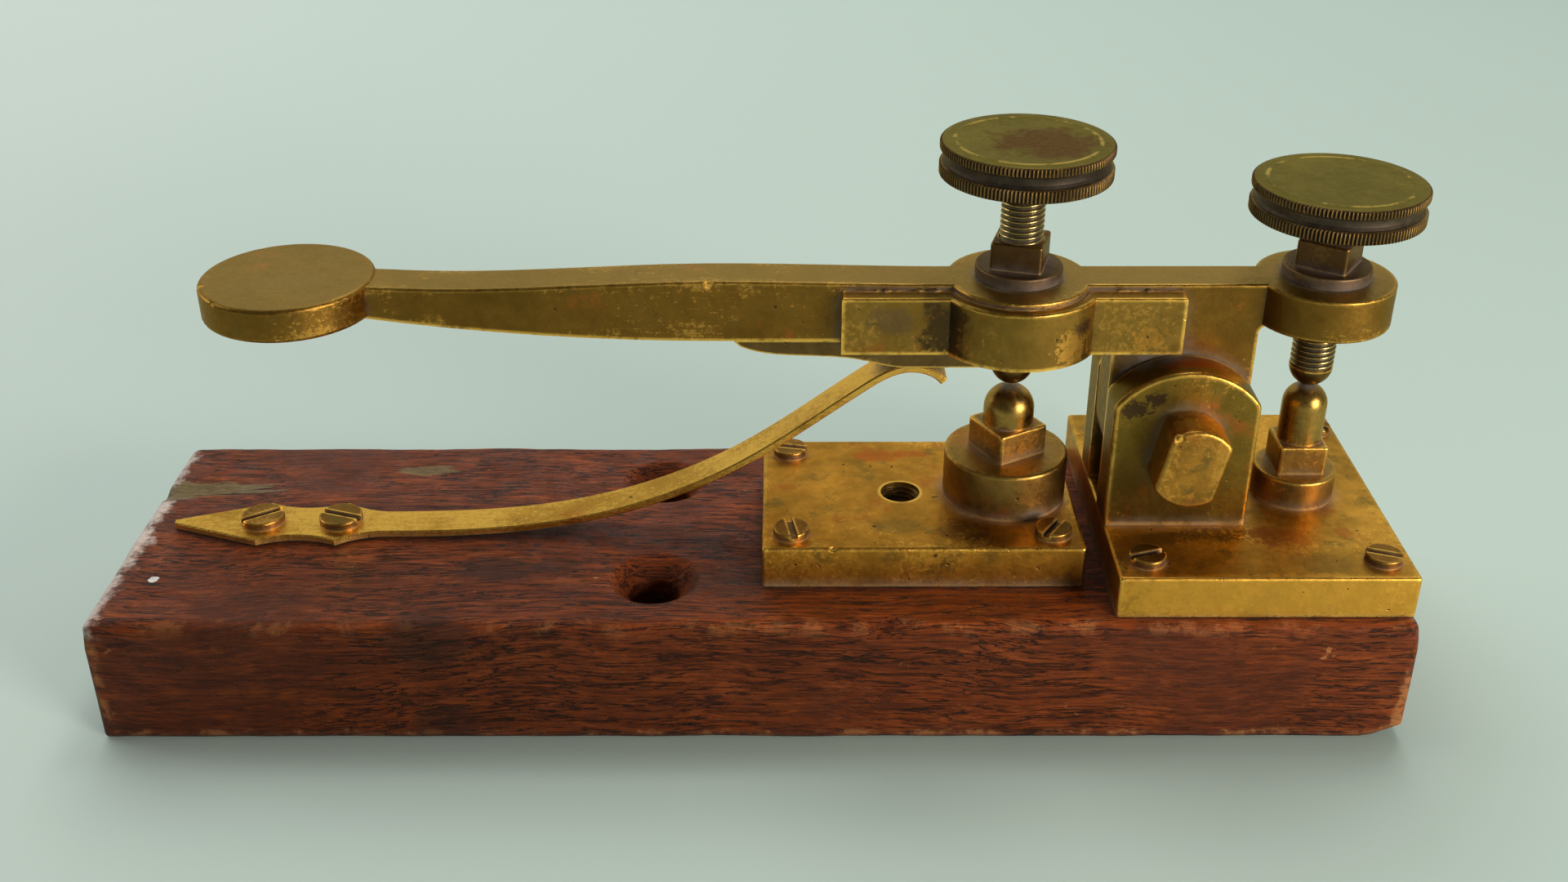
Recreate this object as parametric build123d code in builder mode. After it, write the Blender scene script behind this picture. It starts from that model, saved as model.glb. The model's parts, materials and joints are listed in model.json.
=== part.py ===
from build123d import *
from math import sqrt
import os

# Straight morse key: a brass lever rocks on a pin in a two-cheek fork, above two contact studs,
# all screwed to a wooden base. Millimetres. Origin at the centre of the base's underside,
# X along the base with the finger disc at -X, Y across it, Z up.

# ---- driving dimensions ----
base_length = 200.0
base_width = 56.0
base_height = 21.3
plate_thickness = 6.9
lever_width = 7.5
lever_top = 65.9
pivot_x = 65.6
pivot_height = 42.1
front_screw_x = 40.15
rear_screw_x = 86.55
adjusting_thread_radius = 3.3
knob_radius = 12.75

running_gap = 0.03
thread_gap = 0.05
seat_gap = 0.02

# ---- base ----
base_edge_radius = 2.0
base_corner_radius = 2.5
base_foot_chamfer = 0.6
mounting_hole_x = -15.5
mounting_hole_spacing = 30.0
mounting_hole_radius = 3.9
mounting_sink_radius = 6.9

# ---- plates ----
plate_top = base_height + plate_thickness
contact_plate_size = (49.6, 34.2)
contact_plate_centre = (26.2, -0.4)
fork_plate_size = (45.0, 52.2)
fork_plate_centre = (77.1, 0.3)
plate_edge_radius = 0.5
terminal_hole_radius = 3.15
terminal_hole_place = (23.5, -0.4)
terminal_hole_depth = 8.0
terminal_hole_clearance = 0.4

# ---- wood screws: place of each and the turn of its slot in degrees ----
plate_screw_head_radius = 2.8
plate_screw_head_height = 1.4
plate_screw_shank_radius = 1.5
plate_screw_length = 16.0
plate_screw_hole_clearance = 0.2
screw_point_taper = 25.0
contact_plate_screw_turns = {(5.9, -13.2): 100, (46.4, -13.2): 57, (5.9, 12.3): -12, (46.4, 12.3): 24}
fork_plate_screw_turns = {(59.5, -20.9): 19, (95.1, -20.9): -20, (59.5, 20.2): 70, (95.8, 20.2): -48}
spring_screw_head_radius = 3.45
spring_screw_shank_radius = 1.7
spring_screw_length = 11.0
spring_screw_turns = {(-80.1, 0.0): 33, (-67.4, 0.0): -19}
slot_width = 1.1
slot_depth = 0.75
head_edge_radius = 0.3

# ---- contact studs ----
front_pedestal_radius = 9.75
front_pedestal_height = 8.0
front_pedestal_edge_radius = 0.6
front_stud_radius = 3.95
front_stud_top = 47.5
front_stud_nut_side = 8.85
front_stud_nut_height = 4.9
front_stud_nut_turn = 30.0
rear_pedestal_radius = 6.5
rear_pedestal_height = 5.0
rear_pedestal_edge_radius = 0.5
rear_stud_radius = 3.45
rear_stud_top = 47.7
rear_stud_nut_side = 7.6
rear_stud_nut_height = 4.9
rear_stud_nut_turn = 0.0
stud_shank_radius = 2.4
stud_shank_depth = 5.0

# ---- fork and pivot ----
cheek_inner_y = 4.2
cheek_thickness = 6.5
cheek_half_width = 11.05
cheek_arch_radius = 13.6
cheek_arch_centre_height = 41.0
cheek_shoulder_radius = 2.0
pin_radius = 4.0
pin_head_radius = 6.5
pin_head_flats = 9.2
pin_head_corner_radius = 1.3
pin_head_length = 7.3
pin_head_turn = -12.5
pin_head_edge_radius = 0.6
pivot_nut_length = 5.5
pin_end_length = 6.6
pin_end_chamfer = 0.5

# ---- lever ----
disc_x = -70.2
disc_radius = 13.1
disc_thickness = 5.3
disc_edge_radius = 0.7
arm_bottom = 56.7
arm_crest_x = -10.0
arm_crest_top = 66.35
arm_saddle_x = -48.0
arm_saddle_top = 65.2
arm_taper_start_x = -5.0
arm_root_overlap = 2.0
tongue_radius = 10.9
tail_bottom = 59.2
tail_corner_radius = 1.3
lever_edge_radius = 0.4
front_boss_radius = 10.8
front_boss_bottom = 55.7
rear_boss_radius = 10.4

# ---- collar brazed on the lever's near side, and the wear strip brazed under it ----
collar_left_x = 13.35
collar_right_x = 64.6
collar_bottom = 55.75
collar_top = 64.88
collar_pad_thickness = 2.85
collar_ring_radius = 12.6
collar_edge_radius = 0.35
strip_start_x = -2.9
strip_end_x = 35.5
strip_pad_bottom = 52.2
strip_pad_start_x = 23.3
strip_belly = ((-1.9, 55.8), (6.0, 54.3), (17.0, 53.4))

# ---- leaf spring ----
spring_thickness = 1.2
spring_width = 6.4
spring_tip_x = -94.5
spring_tip_width = 1.2
spring_lobe_half_width = 5.85
spring_waist_half_width = 4.35
spring_neck_x = -60.5
spring_crest_x = 24.3
spring_rise = ((-29.8, 24.2), (-3.0, 34.2), (17.2, 48.4))
spring_curl_end = (29.4, 49.4)
spring_shoulder_half_width = 4.0

# ---- adjusting screws, tips, lock nuts ----
front_knob_top = 87.15
rear_knob_top = 80.9
knob_upper_rim = 1.4
knob_groove = 2.0
knob_lower_rim = 1.9
knob_groove_radius = 12.0
knob_edge_radius = 0.25
front_contact_gap = 0.5
tip_stem_radius = 1.2
tip_stem_length = 4.0
washer_radius = 6.6
washer_thickness = 2.0
lock_nut_side = 7.8
lock_nut_height = 4.2
front_lock_nut_turn = -17.0
rear_lock_nut_turn = -35.0
nut_edge_radius = 0.35
nut_corner_radius = 0.5

os.makedirs("parts", exist_ok=True)


def save(node, name):
    """Label a finished piece and write it to its own file."""
    node.part.label = name
    export_step(node.part, f"parts/{name}.step")


def slotted_screw(head_radius, shank_radius, length):
    """A slotted wood screw standing on z = 0: cheese head above, plain shank with a point below."""
    with BuildPart() as screw:
        with BuildSketch(Plane.XY):
            Circle(head_radius)
        extrude(amount=plate_screw_head_height)
        fillet(screw.faces().sort_by(Axis.Z)[-1].edges(), head_edge_radius)
        with BuildSketch(Plane.XY.offset(plate_screw_head_height)):
            Rectangle(2.2 * head_radius, slot_width)
        extrude(amount=-slot_depth, mode=Mode.SUBTRACT)
        with BuildSketch(Plane.XY):
            Circle(shank_radius)
        extrude(amount=-(length - 2 * shank_radius))
        with BuildSketch(Plane.XY.offset(-(length - 2 * shank_radius))):
            Circle(shank_radius)
        extrude(amount=-1.5 * shank_radius, taper=screw_point_taper)
    return screw.part


def screw_group(turns, seat_height, head_radius, shank_radius, length):
    """One slotted screw at each place of turns, its slot turned by the angle given there."""
    one = slotted_screw(head_radius, shank_radius, length)
    with BuildPart() as group:
        for (x, y), turn in turns.items():
            with Locations(Location((x, y, seat_height), (0, 0, turn))):
                add(one)
    return group


def contact_stud(x, radius, top, shoulder, foot):
    """A domed contact stud: hemisphere on a barrel, with a thinner shank down to foot."""
    with BuildPart() as stud:
        with BuildSketch(Plane.XZ):
            with BuildLine():
                Polyline((x, foot), (x + stud_shank_radius, foot), (x + stud_shank_radius, shoulder),
                         (x + radius, shoulder), (x + radius, top - radius))
                RadiusArc((x + radius, top - radius), (x, top), -radius)
                Line((x, top), (x, foot))
            make_face()
        revolve(axis=Axis((x, 0, 0), (0, 0, 1)))
    return stud


def pedestal(x, radius, height, edge_radius):
    """A round boss standing on a plate, drilled for its stud."""
    with BuildPart() as boss:
        with BuildSketch(Plane.XY.offset(plate_top)):
            with Locations((x, 0)):
                Circle(radius)
        extrude(amount=height)
        fillet(boss.faces().sort_by(Axis.Z)[-1].edges(), edge_radius)
        with Locations((x, 0, plate_top + height)):
            Hole(stud_shank_radius + seat_gap)
    return boss


def square_nut(x, bottom, side, height, turn, hole_radius):
    """A square nut with its upper edges eased, turned about its hole."""
    with BuildPart() as nut:
        with BuildSketch(Plane.XY.offset(bottom)):
            with Locations((x, 0)):
                RectangleRounded(side, side, nut_corner_radius, rotation=turn)
        extrude(amount=height)
        fillet(nut.faces().sort_by(Axis.Z)[-1].edges(), nut_edge_radius)
        with Locations((x, 0, bottom + height)):
            Hole(hole_radius)
    return nut


def washer(x):
    """The round washer between the lever and a lock nut."""
    with BuildPart() as ring:
        with BuildSketch(Plane.XY.offset(lever_top)):
            with Locations((x, 0)):
                Circle(washer_radius)
                Circle(adjusting_thread_radius + 2 * thread_gap, mode=Mode.SUBTRACT)
        extrude(amount=washer_thickness)
        rim = ring.edges().filter_by(GeomType.CIRCLE).sort_by(SortBy.RADIUS)[-2:]
        fillet(rim, nut_edge_radius)
    return ring


def adjusting_screw(x, knob_top, tip_bottom):
    """A screw with a grooved thumb disc. Its lower end stops at the contact tip's equator."""
    shank_end = tip_bottom + adjusting_thread_radius
    upper_rim_bottom = knob_top - knob_upper_rim
    lower_rim_top = upper_rim_bottom - knob_groove
    knob_bottom = lower_rim_top - knob_lower_rim
    with BuildPart() as screw:
        with BuildSketch(Plane.XZ):
            with BuildLine():
                Polyline((x, knob_top), (x + knob_radius, knob_top), (x + knob_radius, upper_rim_bottom),
                         (x + knob_groove_radius, upper_rim_bottom), (x + knob_groove_radius, lower_rim_top),
                         (x + knob_radius, lower_rim_top), (x + knob_radius, knob_bottom),
                         (x + adjusting_thread_radius, knob_bottom), (x + adjusting_thread_radius, shank_end),
                         (x, shank_end), close=True)
            make_face()
        revolve(axis=Axis((x, 0, 0), (0, 0, 1)))
        rims = screw.edges().filter_by(GeomType.CIRCLE).group_by(SortBy.RADIUS)[-1]
        fillet(rims, knob_edge_radius)
        with BuildSketch(Plane.XY.offset(shank_end)):
            with Locations((x, 0)):
                Circle(tip_stem_radius + running_gap)
        extrude(amount=tip_stem_length + 2 * running_gap, mode=Mode.SUBTRACT)
    return screw


def contact_tip(x, tip_bottom):
    """The hemispherical contact under an adjusting screw, with a stem that swivels in its bore."""
    equator = tip_bottom + adjusting_thread_radius
    with BuildPart() as tip:
        with BuildSketch(Plane.XZ):
            with BuildLine():
                RadiusArc((x, tip_bottom), (x + adjusting_thread_radius, equator), -adjusting_thread_radius)
                Polyline((x + adjusting_thread_radius, equator), (x + tip_stem_radius, equator),
                         (x + tip_stem_radius, equator + tip_stem_length), (x, equator + tip_stem_length),
                         (x, tip_bottom))
            make_face()
        revolve(axis=Axis((x, 0, 0), (0, 0, 1)))
    return tip


def fork_cheek(inner_plane):
    """One arched cheek of the fork, extruded away from the lever from inner_plane."""
    spring_height = cheek_arch_centre_height + sqrt(cheek_arch_radius**2 - cheek_half_width**2)
    left = pivot_x - cheek_half_width
    right = pivot_x + cheek_half_width
    with BuildPart() as cheek:
        with BuildSketch(inner_plane) as outline:
            with BuildLine():
                Polyline((left, spring_height), (left, plate_top), (right, plate_top), (right, spring_height))
                ThreePointArc((right, spring_height),
                              (pivot_x, cheek_arch_centre_height + cheek_arch_radius),
                              (left, spring_height))
            make_face()
            fillet(outline.vertices().group_by(Axis.Y)[-1], cheek_shoulder_radius)
            with Locations((pivot_x, pivot_height)):
                Circle(pin_radius + seat_gap, mode=Mode.SUBTRACT)
        extrude(amount=cheek_thickness)
        outer_face = cheek.faces().filter_by(Axis.Y).sort_by(SortBy.DISTANCE)[-1]
        fillet(outer_face.outer_wire().edges().sort_by(Axis.Z)[1:], plate_edge_radius)
    return cheek


def double_d(plane, radius, length):
    """A round bar with two flats, as both ends of the pivot pin have for a spanner."""
    with BuildPart() as bar:
        with BuildSketch(plane) as outline:
            with Locations((pivot_x, pivot_height)):
                Circle(radius)
                Rectangle(pin_head_flats, 3 * radius, rotation=pin_head_turn, mode=Mode.INTERSECT)
            fillet(outline.vertices(), pin_head_corner_radius)
        extrude(amount=length)
    return bar


def lever_round(x, radius, bottom, edge_radius):
    """A round part of the lever under its top face, with eased edges: the finger disc or a boss."""
    with BuildPart() as body:
        with BuildSketch(Plane.XY.offset(lever_top)):
            with Locations((x, 0)):
                Circle(radius)
        extrude(amount=-(lever_top - bottom))
        fillet(body.edges().filter_by(GeomType.CIRCLE), edge_radius)
    return body.part


# ---- wooden base ----
with BuildPart() as wooden_base:
    with BuildSketch(Plane.XY):
        RectangleRounded(base_length, base_width, base_corner_radius)
    extrude(amount=base_height)
    fillet(wooden_base.faces().sort_by(Axis.Z)[-1].edges(), base_edge_radius)
    chamfer(wooden_base.faces().sort_by(Axis.Z)[0].edges(), base_foot_chamfer)
    with Locations((mounting_hole_x, 0, base_height)):
        with GridLocations(0, mounting_hole_spacing, 1, 2):
            CounterSinkHole(mounting_hole_radius, mounting_sink_radius, counter_sink_angle=90)
    for place in (*contact_plate_screw_turns, *fork_plate_screw_turns):
        with Locations((*place, base_height)):
            Hole(plate_screw_shank_radius + seat_gap, depth=plate_screw_length - plate_thickness)
    for place in spring_screw_turns:
        with Locations((*place, base_height)):
            Hole(spring_screw_shank_radius + seat_gap, depth=spring_screw_length)
    with Locations((*terminal_hole_place, base_height)):
        Hole(terminal_hole_radius + terminal_hole_clearance, depth=terminal_hole_depth)
save(wooden_base, "wooden_base")

# ---- contact plate with its terminal hole, and the fork plate ----
with BuildPart() as contact_plate:
    with BuildSketch(Plane.XY.offset(base_height)):
        with Locations(contact_plate_centre):
            Rectangle(*contact_plate_size)
    extrude(amount=plate_thickness)
    fillet(contact_plate.edges().filter_by(Axis.Z), plate_edge_radius)
    fillet(contact_plate.faces().sort_by(Axis.Z)[-1].edges(), plate_edge_radius)
    with Locations((*terminal_hole_place, plate_top)):
        Hole(terminal_hole_radius)
    for place in contact_plate_screw_turns:
        with Locations((*place, plate_top)):
            Hole(plate_screw_shank_radius + plate_screw_hole_clearance)
    with Locations((front_screw_x, 0, plate_top)):
        Hole(stud_shank_radius + seat_gap, depth=stud_shank_depth)
save(contact_plate, "contact_plate")

with BuildPart() as fork_plate:
    with BuildSketch(Plane.XY.offset(base_height)):
        with Locations(fork_plate_centre):
            Rectangle(*fork_plate_size)
    extrude(amount=plate_thickness)
    fillet(fork_plate.edges().filter_by(Axis.Z), plate_edge_radius)
    fillet(fork_plate.faces().sort_by(Axis.Z)[-1].edges(), plate_edge_radius)
    for place in fork_plate_screw_turns:
        with Locations((*place, plate_top)):
            Hole(plate_screw_shank_radius + plate_screw_hole_clearance)
    with Locations((rear_screw_x, 0, plate_top)):
        Hole(stud_shank_radius + seat_gap, depth=stud_shank_depth)
save(fork_plate, "fork_plate")

# ---- screws through both plates ----
save(screw_group(contact_plate_screw_turns, plate_top, plate_screw_head_radius,
                 plate_screw_shank_radius, plate_screw_length), "contact_plate_screws")
save(screw_group(fork_plate_screw_turns, plate_top, plate_screw_head_radius,
                 plate_screw_shank_radius, plate_screw_length), "fork_plate_screws")

# ---- front contact: pedestal, square nut, domed stud ----
front_shoulder = plate_top + front_pedestal_height + front_stud_nut_height
save(pedestal(front_screw_x, front_pedestal_radius, front_pedestal_height,
              front_pedestal_edge_radius), "front_pedestal")
save(square_nut(front_screw_x, plate_top + front_pedestal_height, front_stud_nut_side,
                front_stud_nut_height, front_stud_nut_turn, stud_shank_radius + seat_gap), "front_stud_nut")
save(contact_stud(front_screw_x, front_stud_radius, front_stud_top, front_shoulder,
                  plate_top - stud_shank_depth), "front_stud")

# ---- rear contact ----
rear_shoulder = plate_top + rear_pedestal_height + rear_stud_nut_height
save(pedestal(rear_screw_x, rear_pedestal_radius, rear_pedestal_height,
              rear_pedestal_edge_radius), "rear_pedestal")
save(square_nut(rear_screw_x, plate_top + rear_pedestal_height, rear_stud_nut_side,
                rear_stud_nut_height, rear_stud_nut_turn, stud_shank_radius + seat_gap), "rear_stud_nut")
save(contact_stud(rear_screw_x, rear_stud_radius, rear_stud_top, rear_shoulder,
                  plate_top - stud_shank_depth), "rear_stud")

# ---- fork cheeks ----
save(fork_cheek(Plane.XZ.offset(cheek_inner_y)), "near_cheek")
with BuildPart() as far_cheek:
    add(fork_cheek(Plane.XZ.offset(cheek_inner_y)).part.mirror(Plane.XZ))
save(far_cheek, "far_cheek")

# ---- pivot pin and its nut ----
cheek_outer_y = cheek_inner_y + cheek_thickness
pin_head = double_d(Plane.XZ.offset(cheek_outer_y), pin_head_radius, pin_head_length)
with BuildPart() as pivot_pin:
    add(pin_head.part)
    fillet(pivot_pin.faces().sort_by(Axis.Y)[0].edges(), pin_head_edge_radius)
    with BuildSketch(Plane.XZ.offset(cheek_outer_y)):
        with Locations((pivot_x, pivot_height)):
            Circle(pin_radius)
    extrude(amount=-(2 * cheek_outer_y + pin_end_length))
    chamfer(pivot_pin.faces().sort_by(Axis.Y)[-1].edges(), pin_end_chamfer)
save(pivot_pin, "pivot_pin")

nut_blank = double_d(Plane.XZ.offset(-cheek_outer_y), pin_head_radius, -pivot_nut_length)
with BuildPart() as pivot_nut:
    add(nut_blank.part)
    fillet(pivot_nut.faces().sort_by(Axis.Y)[-1].edges(), pin_head_edge_radius)
    with BuildSketch(Plane.XZ.offset(-cheek_outer_y)):
        with Locations((pivot_x, pivot_height)):
            Circle(pin_radius + seat_gap)
    extrude(amount=-pivot_nut_length, mode=Mode.SUBTRACT)
save(pivot_nut, "pivot_nut")

# ---- lever: finger disc, tapering arm, two bosses and the tongue on the pivot ----
disc_bottom = lever_top - disc_thickness
tongue_left = pivot_x - tongue_radius
tongue_right = pivot_x + tongue_radius
arm_taper_end_x = disc_x + disc_radius - arm_root_overlap
arm_level_x = front_screw_x - front_boss_radius
finger_disc = lever_round(disc_x, disc_radius, disc_bottom, disc_edge_radius)
front_boss = lever_round(front_screw_x, front_boss_radius, front_boss_bottom, lever_edge_radius)
rear_boss = lever_round(rear_screw_x, rear_boss_radius, tail_bottom, lever_edge_radius)
with BuildPart() as lever:
    with BuildSketch(Plane.XZ):
        with BuildLine():
            Line((rear_screw_x, lever_top), (arm_level_x, lever_top))
            Spline((arm_level_x, lever_top), (arm_crest_x, arm_crest_top), (arm_saddle_x, arm_saddle_top),
                   (disc_x, lever_top), tangents=((-1, 0), (-1, 0)))
            Polyline((disc_x, lever_top), (disc_x, disc_bottom), (arm_taper_end_x, disc_bottom))
            TangentArc((arm_taper_start_x, arm_bottom), (arm_taper_end_x, disc_bottom), tangent=(-1, 0))
            Polyline((arm_taper_start_x, arm_bottom), (tongue_left, arm_bottom), (tongue_left, pivot_height))
            ThreePointArc((tongue_left, pivot_height), (pivot_x, pivot_height - tongue_radius),
                          (tongue_right, pivot_height))
            Line((tongue_right, pivot_height), (tongue_right, tail_bottom - tail_corner_radius))
            RadiusArc((tongue_right, tail_bottom - tail_corner_radius),
                      (tongue_right + tail_corner_radius, tail_bottom), tail_corner_radius)
            Polyline((tongue_right + tail_corner_radius, tail_bottom),
                     (rear_screw_x, tail_bottom), (rear_screw_x, lever_top))
        make_face()
    extrude(amount=lever_width / 2, both=True)
    top_edges = [edge for edge in lever.edges()
                 if edge.center().Z > collar_top and abs(edge.center().Y) > lever_edge_radius]
    fillet(top_edges, lever_edge_radius)
    add(finger_disc)
    add(front_boss)
    add(rear_boss)
    with Locations((front_screw_x, 0, lever_top), (rear_screw_x, 0, lever_top)):
        Hole(adjusting_thread_radius + thread_gap)
    with BuildSketch(Plane.XZ):
        with Locations((pivot_x, pivot_height)):
            Circle(pin_radius + running_gap)
    extrude(amount=lever_width, both=True, mode=Mode.SUBTRACT)
save(lever, "lever")

# ---- collar: two pads and a half ring around the front boss, on the near side only ----
with BuildPart() as lever_collar:
    with BuildSketch(Plane.XY.offset(collar_bottom)) as collar_plan:
        pad_middle = (collar_left_x + collar_right_x) / 2
        with Locations((pad_middle, -(lever_width + collar_pad_thickness) / 2)):
            Rectangle(collar_right_x - collar_left_x, collar_pad_thickness)
        with Locations((front_screw_x, 0)):
            Circle(collar_ring_radius)
        with Locations((pad_middle, 0)):
            Rectangle(base_length, lever_width, mode=Mode.SUBTRACT)
        with Locations((pad_middle, base_width / 2 + lever_width / 2)):
            Rectangle(base_length, base_width, mode=Mode.SUBTRACT)
        with Locations((front_screw_x, 0)):
            Circle(front_boss_radius, mode=Mode.SUBTRACT)
    extrude(amount=collar_top - collar_bottom)
    pad_face_y = -lever_width / 2 - collar_pad_thickness
    top_edges = lever_collar.faces().sort_by(Axis.Z)[-1].outer_wire().edges()
    near_edges = [edge for edge in top_edges if edge.bounding_box().min.Y < pad_face_y + seat_gap
                  and edge.center().Y < pad_face_y / 2]
    fillet(near_edges, collar_edge_radius)
save(lever_collar, "lever_collar")

# ---- wear strip that the spring bears on ----
with BuildPart() as spring_rest:
    with BuildSketch(Plane.XZ):
        with BuildLine():
            Polyline((strip_pad_start_x, strip_pad_bottom), (strip_end_x, strip_pad_bottom),
                     (strip_end_x, arm_bottom), (strip_start_x, arm_bottom), strip_belly[0])
            Spline(*strip_belly, (strip_pad_start_x, strip_pad_bottom), tangents=((1, -0.5), (1, 0)))
        make_face()
    extrude(amount=lever_width / 2, both=True)
    with BuildSketch(Plane.XY.offset(front_boss_bottom)):
        with Locations((front_screw_x, 0)):
            Circle(front_boss_radius)
    extrude(amount=lever_top - front_boss_bottom, mode=Mode.SUBTRACT)
save(spring_rest, "spring_rest")

# ---- leaf spring: pointed anchor under two screws, then a strip rising to the lever ----
lobe_xs = [x for x, y in spring_screw_turns]
waist_x = sum(lobe_xs) / 2
spring_middle = base_height + spring_thickness / 2
with BuildPart() as leaf_spring:
    with BuildSketch(Plane.XY.offset(base_height)):
        with BuildLine():
            Polyline((spring_tip_x, 0), (spring_tip_x, spring_tip_width / 2),
                     (lobe_xs[0], spring_lobe_half_width))
            ThreePointArc((lobe_xs[0], spring_lobe_half_width), (waist_x, spring_waist_half_width),
                          (lobe_xs[1], spring_lobe_half_width))
            ThreePointArc((lobe_xs[1], spring_lobe_half_width),
                          ((lobe_xs[1] + spring_neck_x) / 2, spring_shoulder_half_width),
                          (spring_neck_x, spring_width / 2))
            Line((spring_neck_x, spring_width / 2), (spring_neck_x, 0))
            mirror(about=Plane.XZ)
        make_face()
    extrude(amount=spring_thickness)
    with BuildLine(Plane.XZ) as rise:
        Spline((spring_neck_x, spring_middle), *spring_rise,
               (spring_crest_x, strip_pad_bottom - spring_thickness / 2 - seat_gap), spring_curl_end,
               tangents=((1, 0), (0.75, -1)))
    with BuildSketch(Plane(origin=rise.line @ 0, x_dir=(0, 1, 0), z_dir=rise.line % 0)):
        Rectangle(spring_width, spring_thickness)
    sweep(path=rise.line)
    for place in spring_screw_turns:
        with Locations((*place, base_height + spring_thickness)):
            Hole(spring_screw_shank_radius + plate_screw_hole_clearance)
save(leaf_spring, "leaf_spring")
save(screw_group(spring_screw_turns, base_height + spring_thickness, spring_screw_head_radius,
                 spring_screw_shank_radius, spring_screw_length), "spring_screws")

# ---- adjusting screws, contact tips, washers and lock nuts on the lever ----
front_tip_bottom = front_stud_top + front_contact_gap
rear_tip_bottom = rear_stud_top + seat_gap / 2
nut_bottom = lever_top + washer_thickness
nut_hole_radius = adjusting_thread_radius + thread_gap
save(adjusting_screw(front_screw_x, front_knob_top, front_tip_bottom), "front_adjusting_screw")
save(adjusting_screw(rear_screw_x, rear_knob_top, rear_tip_bottom), "rear_adjusting_screw")
save(contact_tip(front_screw_x, front_tip_bottom), "front_contact_tip")
save(contact_tip(rear_screw_x, rear_tip_bottom), "rear_contact_tip")
save(washer(front_screw_x), "front_lock_washer")
save(washer(rear_screw_x), "rear_lock_washer")
save(square_nut(front_screw_x, nut_bottom, lock_nut_side, lock_nut_height, front_lock_nut_turn,
                nut_hole_radius), "front_lock_nut")
save(square_nut(rear_screw_x, nut_bottom, lock_nut_side, lock_nut_height, rear_lock_nut_turn,
                nut_hole_radius), "rear_lock_nut")
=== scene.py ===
import json
import math

import bmesh
import bpy
import numpy as np
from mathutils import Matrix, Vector, noise


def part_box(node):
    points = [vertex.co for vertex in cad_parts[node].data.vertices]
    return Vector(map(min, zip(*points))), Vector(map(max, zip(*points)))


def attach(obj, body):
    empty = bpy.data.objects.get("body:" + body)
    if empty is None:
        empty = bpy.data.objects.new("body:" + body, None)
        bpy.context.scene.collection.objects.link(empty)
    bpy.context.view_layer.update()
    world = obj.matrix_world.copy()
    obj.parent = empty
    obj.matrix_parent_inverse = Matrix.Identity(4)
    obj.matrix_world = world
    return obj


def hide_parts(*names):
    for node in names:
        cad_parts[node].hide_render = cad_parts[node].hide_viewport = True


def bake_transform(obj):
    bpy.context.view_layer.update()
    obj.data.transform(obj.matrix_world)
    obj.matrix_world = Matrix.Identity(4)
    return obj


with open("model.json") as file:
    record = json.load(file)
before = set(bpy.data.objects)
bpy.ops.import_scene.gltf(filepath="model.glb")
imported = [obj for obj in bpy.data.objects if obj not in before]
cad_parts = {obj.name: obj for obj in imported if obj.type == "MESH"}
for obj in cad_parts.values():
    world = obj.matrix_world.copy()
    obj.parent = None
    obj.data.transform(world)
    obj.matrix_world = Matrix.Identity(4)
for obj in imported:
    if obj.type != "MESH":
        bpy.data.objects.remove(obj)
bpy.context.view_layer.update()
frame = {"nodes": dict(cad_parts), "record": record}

# An aged brass morse key on a worn hardwood base. Metres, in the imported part's frame:
# X along the base with the finger disc at -X, Y away from the camera, Z up.

MM = 0.001
mounts = {mount["name"]: mount for mount in frame["record"]["mounts"]}
base_low, base_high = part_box("wooden_base")
plate_low, plate_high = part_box("contact_plate")
fork_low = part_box("fork_plate")[0]
collar_low, collar_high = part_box("lever_collar")


def clamp(value, low, high):
    return max(low, min(high, value))


def smoothstep(value):
    value = clamp(value, 0.0, 1.0)
    return value * value * (3 - 2 * value)


# ---------------------------------------------------------------- shader building

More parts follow.
